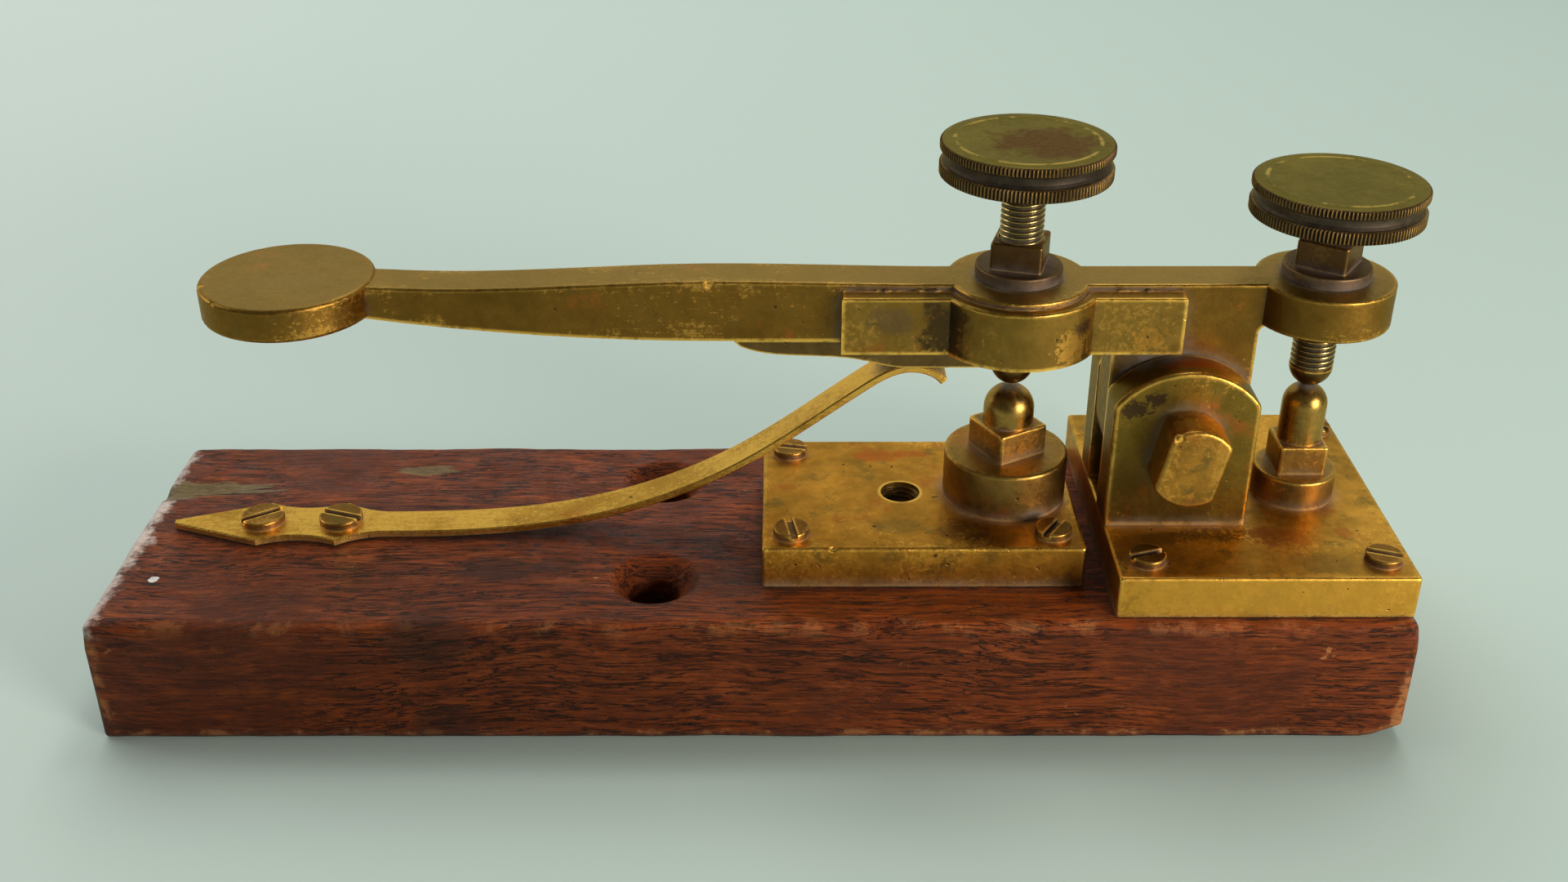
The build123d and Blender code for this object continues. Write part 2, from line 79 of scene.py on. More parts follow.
class Shader:
    """Builds one procedural material. Its methods take numbers, colours or sockets and return a socket."""

    def __init__(self, name, seed=0.0):
        self.material = bpy.data.materials.new(name)
        self.material.use_nodes = True
        self.tree = self.material.node_tree
        self.tree.nodes.clear()
        self.place = self.node("ShaderNodeTexCoord").outputs["Object"]
        if seed:
            self.place = self.vector("ADD", self.place, (seed, 0.7 * seed, 1.3 * seed))

    def node(self, kind, inputs=None, **settings):
        made = self.tree.nodes.new(kind)
        for key, value in settings.items():
            setattr(made, key, value)
        for key, value in (inputs or {}).items():
            if isinstance(value, bpy.types.NodeSocket):
                self.tree.links.new(value, made.inputs[key])
            elif isinstance(value, tuple) and made.inputs[key].type == "RGBA":
                made.inputs[key].default_value = (*value, 1.0)
            else:
                made.inputs[key].default_value = value
        return made

    def math(self, operation, a, b=0.0, limit=False):
        return self.node("ShaderNodeMath", {0: a, 1: b}, operation=operation, use_clamp=limit).outputs[0]

    def vector(self, operation, a, b):
        return self.node("ShaderNodeVectorMath", {0: a, 1: b}, operation=operation).outputs["Vector"]

    def noise(self, scale, detail=4.0, rough=0.6, place=None, distortion=0.0):
        inputs = {"Vector": place or self.place, "Scale": scale, "Detail": detail, "Roughness": rough,
                  "Distortion": distortion}
        return self.node("ShaderNodeTexNoise", inputs).outputs["Fac"]

    def position(self):
        """The x, y and z of the shaded point in the object's frame."""
        place = self.node("ShaderNodeTexCoord").outputs["Object"]
        return self.node("ShaderNodeSeparateXYZ", {0: place}).outputs

    def facing_up(self):
        """1 on level faces, 0 on upright ones, -1 underneath."""
        normal = self.node("ShaderNodeNewGeometry").outputs["Normal"]
        return self.node("ShaderNodeSeparateXYZ", {0: normal}).outputs[2]

    def grey(self, value):
        """A colour with all three channels at value."""
        return self.node("ShaderNodeCombineColor", {0: value, 1: value, 2: value}).outputs[0]

    def axis_distance(self, axis_x):
        """How far the shaded point is from the vertical axis at x = axis_x, y = 0."""
        x, y, z = self.position()
        away = self.math("SUBTRACT", x, axis_x)
        square = self.math("ADD", self.math("MULTIPLY", away, away), self.math("MULTIPLY", y, y))
        return self.math("SQRT", square)

    def step(self, value, low, high, bottom=0.0, top=1.0):
        """Smooth rise from bottom to top as value goes from low to high."""
        inputs = {"Value": value, "From Min": low, "From Max": high, "To Min": bottom, "To Max": top}
        return self.node("ShaderNodeMapRange", inputs, interpolation_type="SMOOTHSTEP").outputs[0]

    def mix(self, share, a, b, blend="MIX"):
        inputs = {"Fac": share, "Color1": a, "Color2": b}
        return self.node("ShaderNodeMixRGB", inputs, blend_type=blend).outputs[0]

    def near(self, centre, size):
        """1 at centre, falling to 0 one size away, measured separately along each axis."""
        offset = self.vector("SUBTRACT", self.node("ShaderNodeTexCoord").outputs["Object"], tuple(centre))
        scaled = self.vector("DIVIDE", offset, tuple(size))
        length = self.node("ShaderNodeVectorMath", {0: scaled}, operation="LENGTH").outputs["Value"]
        return self.math("SUBTRACT", 1.0, length, limit=True)

    def convex_edges(self, size):
        """1 on outward edges, from how little solid lies behind the surface."""
        hidden = self.node("ShaderNodeAmbientOcclusion", {"Distance": size}, samples=8, inside=True,
                           only_local=True).outputs["AO"]
        return self.step(hidden, 0.90, 0.66)

    def crevices(self, size):
        """1 in inward corners and under neighbours."""
        open_sky = self.node("ShaderNodeAmbientOcclusion", {"Distance": size}, samples=6).outputs["AO"]
        return self.step(open_sky, 0.74, 0.44)

    def bump(self, height_mm, strength=1.0):
        """A normal from a height in millimetres."""
        inputs = {"Height": height_mm, "Distance": MM, "Strength": strength}
        return self.node("ShaderNodeBump", inputs).outputs["Normal"]

    def finish(self, colour, roughness, metallic=0.0, normal=None, **more):
        inputs = {"Base Color": colour, "Roughness": roughness, "Metallic": metallic, **more}
        if normal is not None:
            inputs["Normal"] = normal
        surface = self.node("ShaderNodeBsdfPrincipled", inputs).outputs["BSDF"]
        self.node("ShaderNodeOutputMaterial", {"Surface": surface})
        return self.material


# ---------------------------------------------------------------- materials

WORN_GOLD = (0.95, 0.53, 0.095)
EDGE_TINT = (1.0, 0.86, 0.60)
COPPER = (0.44, 0.115, 0.022)
VERDIGRIS = (0.135, 0.105, 0.030)
PIT_BROWN = (0.035, 0.022, 0.012)
TIDE_MARK = (0.060, 0.028, 0.022)
DUST = (0.185, 0.165, 0.150)
# pale gold painted on level faces as a painted sheen
PAINTED_SHEEN_GOLD = (0.62, 0.42, 0.14)


def aged_brass(name, patina, bright, worn=0.35, tone=0.35, copper=0.15, green=0.15, pits=0.3,
               rough=(0.30, 0.46), edge_size=0.95 * MM, edge_wear=0.95, dust=0.9, rings=0.2, brushed=0.0,
               waviness=1.0, seed=1.0, sheen_share=0.0, marks=(), freckles=(), nicks=(), bright_band=None):
    """Old brass: a patina of uneven tone, rubbed through to bright metal in flecks and along the edges,
    with copper and green stains, tide marks, pits, nicks and dust in its corners. Shares run from 0 to 1.
    film is the share of painted sheen on level faces, a pale gold painted on the tops as a painted highlight.
    marks (broad) and freckles (fine-grained) list (centre, size, colour, strength), nicks lists (centre,
    size).
    bright_band is a 0 to 1 socket builder for extra rubbed metal, such as the crests of a thread."""
    s = Shader(name, seed)
    cloud = s.noise(62.0, 5.0, 0.60)
    mottle = s.noise(360.0, 8.0, 0.70)
    fleck = s.noise(1250.0, 6.0, 0.75)
    value = s.math("ADD", s.math("MULTIPLY", cloud, 0.55), s.math("MULTIPLY", mottle, 0.45))
    shade = s.step(value, 0.36, 0.64, 1.0 - tone, 1.0 + tone)
    colour = s.mix(1.0, patina, s.grey(shade), "MULTIPLY")

    if copper:
        stain = s.noise(105.0, 6.0, 0.64, s.vector("ADD", s.place, (3.1, 0.4, 1.7)))
        colour = s.mix(s.step(stain, 0.60 - 0.2 * copper, 0.70 - 0.2 * copper, 0.0, 0.6), colour, COPPER)
    if green:
        moss = s.noise(190.0, 7.0, 0.70, s.vector("ADD", s.place, (0.6, 2.3, 5.2)))
        colour = s.mix(s.step(moss, 0.61 - 0.2 * green, 0.70 - 0.2 * green, 0.0, 0.5), colour, VERDIGRIS)
    for centre, size, tint, strength in marks:
        ragged = s.math("ADD", s.near(centre, size), s.math("MULTIPLY", mottle, 1.6))
        colour = s.mix(s.step(ragged, 1.08, 1.42, 0.0, strength), colour, tint)

    rub = s.math("ADD", s.math("MULTIPLY", fleck, 0.5), s.math("MULTIPLY", cloud, 0.5))
    rub = s.math("ADD", rub, s.math("MULTIPLY", s.convex_edges(4 * edge_size), 0.05))
    if brushed:
        strokes = s.noise(260.0, 4.0, 0.6, s.vector("MULTIPLY", s.place, (1.0, 22.0, 22.0)))
        rub = s.math("ADD", rub, s.math("MULTIPLY", s.math("SUBTRACT", strokes, 0.5), 0.5 * brushed))
    rubbed = s.step(rub, 0.62 - 0.16 * worn, 0.68 - 0.16 * worn)
    if bright_band:
        rubbed = s.math("MAXIMUM", rubbed, bright_band(s))
    colour = s.mix(s.math("MULTIPLY", rubbed, 0.8), colour, bright)
    for centre, size, tint, strength in freckles:
        ragged = s.math("ADD", s.near(centre, size), s.math("MULTIPLY", fleck, 2.4))
        colour = s.mix(s.step(ragged, 1.66, 1.82, 0.0, strength), colour, tint)

    tide = s.noise(125.0, 2.0, 0.5, s.vector("ADD", s.place, (1.9, 6.1, 0.3)), 0.9)
    away = s.math("ABSOLUTE", s.math("SUBTRACT", tide, 0.53))
    line = s.math("MULTIPLY", s.step(away, 0.012, 0.002), s.step(cloud, 0.46, 0.56, 0.0, rings))
    colour = s.mix(line, colour, TIDE_MARK)

    pit_field = s.noise(720.0, 2.0, 0.5, s.vector("ADD", s.place, (7.7, 1.1, 0.2)))
    pit_mask = s.step(pit_field, 0.76 - 0.08 * pits, 0.79 - 0.08 * pits)
    colour = s.mix(s.math("MULTIPLY", pit_mask, 0.8), colour, PIT_BROWN)
    edges = s.math("MULTIPLY", s.convex_edges(edge_size), s.step(mottle, 0.38, 0.50, 0.35, 1.0))
    edges = s.math("MULTIPLY", edges, edge_wear)
    colour = s.mix(edges, colour, WORN_GOLD)
    dirt = s.math("MULTIPLY", s.crevices(4.0 * MM), s.step(mottle, 0.36, 0.60, 0.5, 1.0))
    dirt = s.math("MULTIPLY", dirt, dust)
    # Painted sheen: level faces are lightened towards pale gold, standing in for light falling on the tops.
    painted_sheen_mask = s.math("MULTIPLY", s.step(s.facing_up(), 0.80, 0.97), sheen_share)
    colour = s.mix(painted_sheen_mask, colour, PAINTED_SHEEN_GOLD)
    colour = s.mix(dirt, colour, DUST)

    smoother = s.math("MAXIMUM", rubbed, edges)
    roughness = s.step(smoother, 0.0, 1.0, rough[1], rough[0])
    roughness = s.math("ADD", roughness, s.step(fleck, 0.35, 0.65, -0.05, 0.07))
    roughness = s.math("ADD", roughness, s.math("MULTIPLY", dirt, 0.3), limit=True)
    metallic = s.math("SUBTRACT", 1.0, s.math("MULTIPLY", dirt, 0.9), limit=True)
    height = s.math("MULTIPLY", cloud, 0.22 * waviness)
    height = s.math("ADD", height, s.math("MULTIPLY", mottle, 0.06 * waviness))
    height = s.math("ADD", height, s.math("MULTIPLY", fleck, 0.022))
    height = s.math("SUBTRACT", height, s.math("MULTIPLY", rubbed, 0.012))
    height = s.math("SUBTRACT", height, s.math("MULTIPLY", pit_mask, 0.04))
    for centre, size in nicks:
        hollow = s.step(s.math("ADD", s.near(centre, size), s.math("MULTIPLY", fleck, 0.3)), 0.3, 0.8)
        height = s.math("SUBTRACT", height, s.math("MULTIPLY", hollow, 0.45))
        colour = s.mix(s.math("MULTIPLY", hollow, 0.6), colour, WORN_GOLD)
    return s.finish(colour, roughness, metallic, s.bump(height), **{"Specular Tint": EDGE_TINT})


def hardwood(name, dusty_x, bare_spots):
    """Worn reddish hardwood: wavy dark grain along X, orange figure, rubbed edges, frosted at the
    dusty_x end. bare_spots lists (centre, size, colour, strength) of stains and missing finish."""
    s = Shader(name, 2.0)
    sway = s.noise(16.0, 2.0, 0.5)
    bend = s.math("MULTIPLY", s.math("SUBTRACT", sway, 0.5), 12 * MM)
    bent = s.vector("ADD", s.place, s.node("ShaderNodeCombineXYZ", {1: bend, 2: bend}).outputs[0])
    along = s.vector("MULTIPLY", bent, (1.0, 16.0, 16.0))
    streaks = s.noise(75.0, 7.0, 0.68, along, 0.2)
    fibres = s.noise(190.0, 8.0, 0.76, along)
    crack_field = s.noise(75.0, 4.0, 0.60, s.vector("MULTIPLY", bent, (1.0, 12.0, 12.0)), 0.3)
    cracks = s.step(s.math("ABSOLUTE", s.math("SUBTRACT", crack_field, 0.54)), 0.034, 0.010)
    figure = s.noise(110.0, 8.0, 0.72, s.vector("MULTIPLY", bent, (1.0, 2.6, 2.6)))
    cloud = s.noise(28.0, 4.0, 0.60)
    rubbed = s.noise(190.0, 8.0, 0.72)
    cracks = s.math("MULTIPLY", cracks, s.step(cloud, 0.40, 0.52, 0.30, 1.0))
    colour = s.mix(s.step(streaks, 0.36, 0.64), (0.082, 0.0155, 0.0022), (0.165, 0.0315, 0.0042))
    colour = s.mix(s.step(figure, 0.49, 0.68, 0.0, 0.50), colour, (0.29, 0.064, 0.0105))
    colour = s.mix(s.step(figure, 0.47, 0.34, 0.0, 0.35), colour, (0.050, 0.011, 0.0045))
    colour = s.mix(s.step(cloud, 0.47, 0.36, 0.0, 0.40), colour, (0.040, 0.010, 0.0050))
    colour = s.mix(s.step(fibres, 0.48, 0.62, 0.0, 0.70), colour, (0.030, 0.0080, 0.0028))
    colour = s.mix(s.math("MULTIPLY", cracks, 0.9), colour, (0.010, 0.005, 0.003))
    edges = s.convex_edges(3.2 * MM)
    scuffs = s.step(s.math("ADD", rubbed, s.math("MULTIPLY", edges, 0.20)), 0.65, 0.72)
    colour = s.mix(s.math("MULTIPLY", scuffs, 0.65), colour, (0.42, 0.165, 0.055))
    x, y, z = s.position()
    left_end = s.step(x, dusty_x + 4.5 * MM, dusty_x - 0.8 * MM)
    upward = s.step(z, base_high.z - 3 * MM, base_high.z - MM)
    frosted = s.math("ADD", rubbed, s.math("MULTIPLY", left_end, 0.32))
    pale = s.math("MULTIPLY", s.step(frosted, 0.60, 0.82, 0.0, 0.85), upward)
    colour = s.mix(s.math("MULTIPLY", pale, s.step(left_end, 0.0, 0.1)), colour, (0.60, 0.50, 0.44))
    for centre, size, tint, strength in bare_spots:
        reach = s.near(centre, size)
        ragged = s.math("ADD", reach, s.math("MULTIPLY", streaks, 1.6))
        spot = s.step(ragged, 1.10, 1.17, 0.0, strength)
        colour = s.mix(s.math("MULTIPLY", spot, s.step(reach, 0.0, 0.15)), colour, tint)
    # Painted light: the colour is scaled from 0.86 at -X to 1.40 towards +X, standing in for the front-right
    # lamp, and up to 1.55 times more on upward faces as a painted sheen.
    painted_light = s.step(x, -60 * MM, 90 * MM, 0.86, 1.40)
    painted_light = s.math("MULTIPLY", painted_light, s.step(s.facing_up(), 0.30, 0.95, 1.0, 1.55))
    colour = s.mix(1.0, colour, s.grey(painted_light), "MULTIPLY")
    dirt = s.math("MULTIPLY", s.crevices(4.0 * MM), 0.7)
    colour = s.mix(dirt, colour, (0.036, 0.028, 0.025))
    roughness = s.step(rubbed, 0.36, 0.64, 0.24, 0.50)
    roughness = s.math("ADD", roughness, s.math("MULTIPLY", dirt, 0.3), limit=True)
    height = s.math("ADD", s.math("MULTIPLY", cloud, 0.40), s.math("MULTIPLY", rubbed, 0.08))
    height = s.math("SUBTRACT", height, s.math("MULTIPLY", cracks, 0.09))
    height = s.math("SUBTRACT", height, s.math("MULTIPLY", s.step(fibres, 0.42, 0.64), 0.045))
    return s.finish(colour, roughness, 0.0, s.bump(height), **{"Specular IOR Level": 0.15})


def floor_paint(name):
    """Pale green studio floor, with painted light making it a little lighter to the left."""
    s = Shader(name)
    x, y, z = s.position()
    colour = s.mix(s.step(x, 0.25, -0.9), (0.465, 0.575, 0.515), (0.62, 0.67, 0.645))
    speck = s.noise(900.0, 3.0, 0.5)
    roughness = s.step(speck, 0.3, 0.7, 0.75, 0.85)
    return s.finish(colour, roughness, 0.0, s.bump(s.math("MULTIPLY", speck, 0.01)))


# ---------------------------------------------------------------- mesh building

def add_piece(name, mesh_builder, materials, body=None, stands_for=(), sharp_angle=40.0):
    """Turn a bmesh into a smooth-shaded piece of the object riding on a body."""
    bmesh.ops.recalc_face_normals(mesh_builder, faces=mesh_builder.faces)
    mesh = bpy.data.meshes.new(name)
    mesh_builder.to_mesh(mesh)
    mesh_builder.free()
    mesh.shade_smooth()
    mesh.set_sharp_from_angle(angle=math.radians(sharp_angle))
    for material in materials:
        mesh.materials.append(material)
    piece = bpy.data.objects.new(name, mesh)
    bpy.context.scene.collection.objects.link(piece)
    if stands_for:
        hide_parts(*stands_for)
    if body:
        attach(piece, body)
    return piece


def rings_to_bmesh(rings, start_cap=True, end_cap=True, joined=False, ring_materials=None):
    """Skin a list of closed rings of points. Caps fan to the ring's middle; joined closes last to first."""
    builder = bmesh.new()
    skins = [[builder.verts.new(point) for point in ring] for ring in rings]
    pairs = list(zip(skins, skins[1:])) + ([(skins[-1], skins[0])] if joined else [])
    for index, (here, there) in enumerate(pairs):
        count = len(here)
        for i in range(count):
            face = builder.faces.new((here[i], here[(i + 1) % count], there[(i + 1) % count], there[i]))
            face.material_index = ring_materials[index] if ring_materials else 0
    for wanted, skin, index in ((start_cap, skins[0], 0), (end_cap, skins[-1], -1)):
        if wanted and not joined:
            middle = builder.verts.new(sum((v.co for v in skin), Vector()) / len(skin))
            for i in range(len(skin)):
                face = builder.faces.new((skin[i], skin[(i + 1) % len(skin)], middle))
                face.material_index = ring_materials[index] if ring_materials else 0
    return builder


def turned(centre_x, profile, segments, centre_y=0.0, radius_change=None):
    """Rings of a turned shape about a vertical axis. profile lists (radius, height);
    radius_change(index, angle) alters the radius of one profile row."""
    rings = []
    for row, (radius, height) in enumerate(profile):
        ring = []
        for i in range(segments):
            angle = 2 * math.pi * i / segments
            here = radius + (radius_change(row, angle) if radius_change else 0.0)
            place = centre_x + here * math.cos(angle), centre_y + here * math.sin(angle), height
            ring.append(Vector(place))
        rings.append(ring)
    return rings


def boolean_cut(piece_mesh, cutters):
    """Subtract closed cutter meshes from a mesh, and return the result as a bmesh."""
    target = bpy.data.objects.new("cut_target", piece_mesh)
    bpy.context.scene.collection.objects.link(target)
    made = [target]
    for builder in cutters:
        bmesh.ops.recalc_face_normals(builder, faces=builder.faces)
        mesh = bpy.data.meshes.new("cutter")
        builder.to_mesh(mesh)
        builder.free()
        cutter = bpy.data.objects.new("cutter", mesh)
        bpy.context.scene.collection.objects.link(cutter)
        made.append(cutter)
        modifier = target.modifiers.new("cut", "BOOLEAN")
        modifier.operation = "DIFFERENCE"
        modifier.solver = "EXACT"
        modifier.object = cutter
    bpy.context.view_layer.update()
    evaluated = target.evaluated_get(bpy.context.evaluated_depsgraph_get())
    result = bmesh.new()
    result.from_mesh(evaluated.to_mesh())
    evaluated.to_mesh_clear()
    for thing in made:
        bpy.data.objects.remove(thing)
    return result


# ---------------------------------------------------------------- wooden base

TOP_ROUND = 2.1 * MM
FOOT_ROUND = 0.9 * MM
FINE_BAND = 3.0 * MM
FINE_STEP = 0.42 * MM
COARSE_STEP = 1.7 * MM
BASE_SPREAD = (0.75 * MM, 0.45 * MM)  # how much longer the wood is than drawn, at -X and +X
GENERAL_WEAR = 0.10 * MM
DENT_X = 19.1 * MM  # on the front top edge
SPLINTER_Y = 12.0 * MM  # on the left top edge
SPLINTER_STEPS = ((1.0, 3.6, 1.3), (4.5, 3.0, 0.9), (8.0, 2.6, 0.7), (11.5, 2.2, 0.5))  # run, size, depth
BARE_SPOT = Vector((-56.8 * MM, 18.8 * MM, base_high.z))
RIGHT_CHIP = (Vector((-6.4, 0, 0)) * MM, Vector((0.40, -0.25, -0.88)))  # place from its corner, outward
LEFT_CHIP = (Vector((0.9, 0, 0)) * MM, Vector((-0.62, -0.35, -0.70)))

hole_x = mounts["mounting_holes"]["pos_m"][0]
hole_y = mounts["mounting_holes"]["dims"]["spacing_y_mm"] / 2 * MM
HOLE_RADIUS = mounts["mounting_holes"]["dims"]["hole_r_mm"] * MM
SINK_RADIUS = 6.9 * MM
CLEARANCE_RADIUS = 3.55 * MM


def dense_at_ends(low, high):
    """Positions from low to high, closer together near both ends."""
    band = [i * FINE_STEP for i in range(int(FINE_BAND / FINE_STEP) + 1)]
    count = round((high - low - 2 * band[-1]) / COARSE_STEP)
    inner = [low + band[-1] + (high - low - 2 * band[-1]) * i / count for i in range(1, count)]
    return [low + b for b in band] + inner + [high - b for b in reversed(band)]


def gouge(point, centre, radius, shift):
    """Push a point by shift, fading out with its distance from centre."""
    return point + shift * smoothstep(1 - (point - centre).length / radius)


def chipped(point, corner, chip):
    """A point pressed back to the flat face of a chip off a corner."""
    place, outward = chip
    beyond = (point - corner - place).dot(outward)
    return point - outward * beyond if beyond > 0 else point


def worn_base_point(point):
    """Where a point of the sharp block ends up on the worn, chipped one."""
    overhang = BASE_SPREAD[0] if point.x < 0 else BASE_SPREAD[1]
    rise = smoothstep((point.z - base_high.z + 4.5 * MM) / (3 * MM))
    radius = FOOT_ROUND + (TOP_ROUND - FOOT_ROUND) * rise
    radius *= 1 + 0.22 * noise.noise(point * 70) + 0.12 * noise.noise(point * 260)
    inner = Vector([clamp(point[i], base_low[i] + radius, base_high[i] - radius) for i in range(3)])
    offset = point - inner
    if offset.length > 0:
        point = inner + offset.normalized() * radius
    inward = -offset.normalized() if offset.length > 0 else Vector()
    point = point + inward * GENERAL_WEAR * (1 + noise.noise(point * 90))
    dent = Vector((DENT_X, base_low.y, base_high.z))
    point = gouge(point, dent, 4.2 * MM, Vector((0.0, 1.1, -1.1)) * MM)
    point = gouge(point, dent + Vector((-4.5, 0, 0)) * MM, 5.0 * MM, Vector((0.0, 0.35, -0.3)) * MM)
    splinter = Vector((base_low.x, SPLINTER_Y, base_high.z))
    for run, size, depth in SPLINTER_STEPS:
        place = splinter + Vector((run, 0.1 * run, 0)) * MM
        point = gouge(point, place, size * MM, Vector((0, 0, -depth)) * MM)
    point = gouge(point, BARE_SPOT, 2.4 * MM, Vector((0, 0, -0.5)) * MM)
    point = chipped(point, Vector((base_high.x, base_low.y, base_low.z)), RIGHT_CHIP)
    point = chipped(point, Vector((base_low.x, base_low.y, base_low.z)), LEFT_CHIP)
    point.z = max(point.z, base_low.z)
    point.x += overhang * point.x / base_high.x
    return point


def worn_block():
    """The base's outside as a dense surface lattice, moved by worn_base_point."""
    steps = [dense_at_ends(base_low[i], base_high[i]) for i in range(3)]
    builder = bmesh.new()
    corners = {}

    def vertex(i, j, k):
        if (i, j, k) not in corners:
            place = Vector((steps[0][i], steps[1][j], steps[2][k]))
            corners[i, j, k] = builder.verts.new(worn_base_point(place))
        return corners[i, j, k]

    for axis in range(3):
        u, v = [a for a in range(3) if a != axis]
        for side in (0, len(steps[axis]) - 1):
            for i in range(len(steps[u]) - 1):
                for j in range(len(steps[v]) - 1):
                    quad = []
                    for di, dj in ((0, 0), (1, 0), (1, 1), (0, 1)):
                        index = [0, 0, 0]
                        index[axis], index[u], index[v] = side, i + di, j + dj
                        quad.append(vertex(*index))
                    builder.faces.new(quad)
    bmesh.ops.recalc_face_normals(builder, faces=builder.faces)
    mesh = bpy.data.meshes.new("worn_block")
    builder.to_mesh(mesh)
    builder.free()
    return mesh


def sink_cutter(x, y):
    """A countersunk through hole with a rubbed lip."""
    top = base_high.z
    profile = [(HOLE_RADIUS, base_low.z - MM), (HOLE_RADIUS, top - 3.4 * MM),
               (HOLE_RADIUS + 0.2 * MM, top - 3.0 * MM), (SINK_RADIUS - 0.9 * MM, top - 0.9 * MM),
               (SINK_RADIUS - 0.1 * MM, top - 0.25 * MM), (SINK_RADIUS + 0.9 * MM, top + 0.05 * MM),
               (SINK_RADIUS + 2.2 * MM, top + 1.0 * MM)]
    return rings_to_bmesh(turned(x, profile, 96, y))


def terminal_bore():
    """The clearance bored in the wood under the terminal hole."""
    x, y, z = mounts["terminal_hole"]["pos_m"]
    profile = [(CLEARANCE_RADIUS, base_high.z - 8 * MM), (CLEARANCE_RADIUS, base_high.z + MM)]
    return rings_to_bmesh(turned(x, profile, 64, y))


bare_wood = (0.135, 0.095, 0.040)
dark_wood = (0.028, 0.011, 0.006)
wood = hardwood("worn_hardwood", base_low.x, [
    ((-93 * MM, 12.6 * MM, base_high.z), (16 * MM, 3.4 * MM, 8 * MM), bare_wood, 0.9),
    ((-99 * MM, 12.0 * MM, base_high.z), (7 * MM, 5.0 * MM, 6 * MM), bare_wood, 0.9),
    (BARE_SPOT, (7 * MM, 2.6 * MM, 4 * MM), bare_wood, 0.8),
    ((-49 * MM, base_low.y, 19 * MM), (9 * MM, 5 * MM, 8 * MM), dark_wood, 0.6),
    ((-40 * MM, -12.5 * MM, base_high.z), (10 * MM, 5 * MM, 4 * MM), dark_wood, 0.7),
    ((-31 * MM, -11 * MM, base_high.z), (5 * MM, 3 * MM, 4 * MM), dark_wood, 0.6),
    ((-4 * MM, -16 * MM, base_high.z), (12 * MM, 6 * MM, 4 * MM), dark_wood, 0.5),
    ((-47 * MM, base_low.y, 3 * MM), (8 * MM, 5 * MM, 6 * MM), dark_wood, 0.5),
    ((-93.4 * MM, -15.4 * MM, base_high.z), (1.1 * MM, 1.1 * MM, 3 * MM), (0.7, 0.66, 0.6), 0.9),
])
cutters = [sink_cutter(hole_x, hole_y), sink_cutter(hole_x, -hole_y), terminal_bore()]
base_builder = boolean_cut(worn_block(), cutters)
add_piece("worn_wooden_base", base_builder, [wood], "base", ("wooden_base",), 50.0)


# ---------------------------------------------------------------- adjusting screws

TEETH = 140
TOOTH_SEGMENTS = 6
TOOTH_DEPTH = 0.30 * MM
THREAD_PITCH = 0.85 * MM
THREAD_DEPTH = 0.42 * MM
THREAD_TAPER = 0.5 * MM
WALL_OVERLAP = 0.04 * MM
knob_low, knob_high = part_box("front_adjusting_screw")
knob_radius = (knob_high.x - knob_low.x) / 2
ridge_radius = 0.829 * knob_radius
tip_low, tip_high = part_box("front_contact_tip")
thread_radius = (tip_high.x - tip_low.x) / 2
KNOB_DEPTH = 5.3


def crest_band(radius, depth, axes):
    """Rubbed metal on the outermost part of something turned about any of the vertical axes at x = axes."""
    def build(shader):
        distances = [shader.axis_distance(axis_x) for axis_x in axes]
        nearest = distances[0]
        for distance in distances[1:]:
            nearest = shader.math("MINIMUM", nearest, distance)
        return shader.step(nearest, radius - depth, radius - 0.25 * depth)
    return build


screw_axes = [sum(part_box(f"{end}_contact_tip")[i].x for i in (0, 1)) / 2 for end in ("front", "rear")]
knurl_brass = aged_brass("knurl_brass", (0.070, 0.042, 0.0215), (0.26, 0.15, 0.04), worn=0.1, copper=0.0,
                         green=0.1, rough=(0.34, 0.55), edge_size=0.15 * MM, edge_wear=0.45, dust=0.2,
                         rings=0.0, waviness=0.2, seed=4.0,
                         bright_band=crest_band(knob_radius, 0.05 * MM, screw_axes))
groove_brass = aged_brass("groove_brass", (0.070, 0.050, 0.034), (0.15, 0.105, 0.05), worn=0.1, copper=0.0,
                          green=0.0, pits=0.0, rough=(0.40, 0.50), edge_wear=0.3, dust=0.3, rings=0.0,
                          waviness=0.3, seed=5.0)
thread_brass = aged_brass("thread_brass", (0.15, 0.115, 0.055), (0.66, 0.47, 0.17), worn=0.1, copper=0.0,
                          green=0.2, pits=0.0, rough=(0.22, 0.42), edge_size=0.2 * MM, edge_wear=0.5,
                          dust=0.5, rings=0.0, waviness=0.1, seed=6.0,
                          bright_band=crest_band(thread_radius, 0.14 * MM, screw_axes))
# Painted shade: near-black brass for the thread inside the terminal hole, standing in for the shade there.
bore_painted_shade_brass = aged_brass("bore_painted_shade_brass", (0.040, 0.024, 0.011), (0.10, 0.06, 0.02), worn=0.0, copper=0.1,
                        green=0.1, pits=0.0, edge_wear=0.12, dust=0.1, rings=0.0, waviness=0.1, seed=6.5)


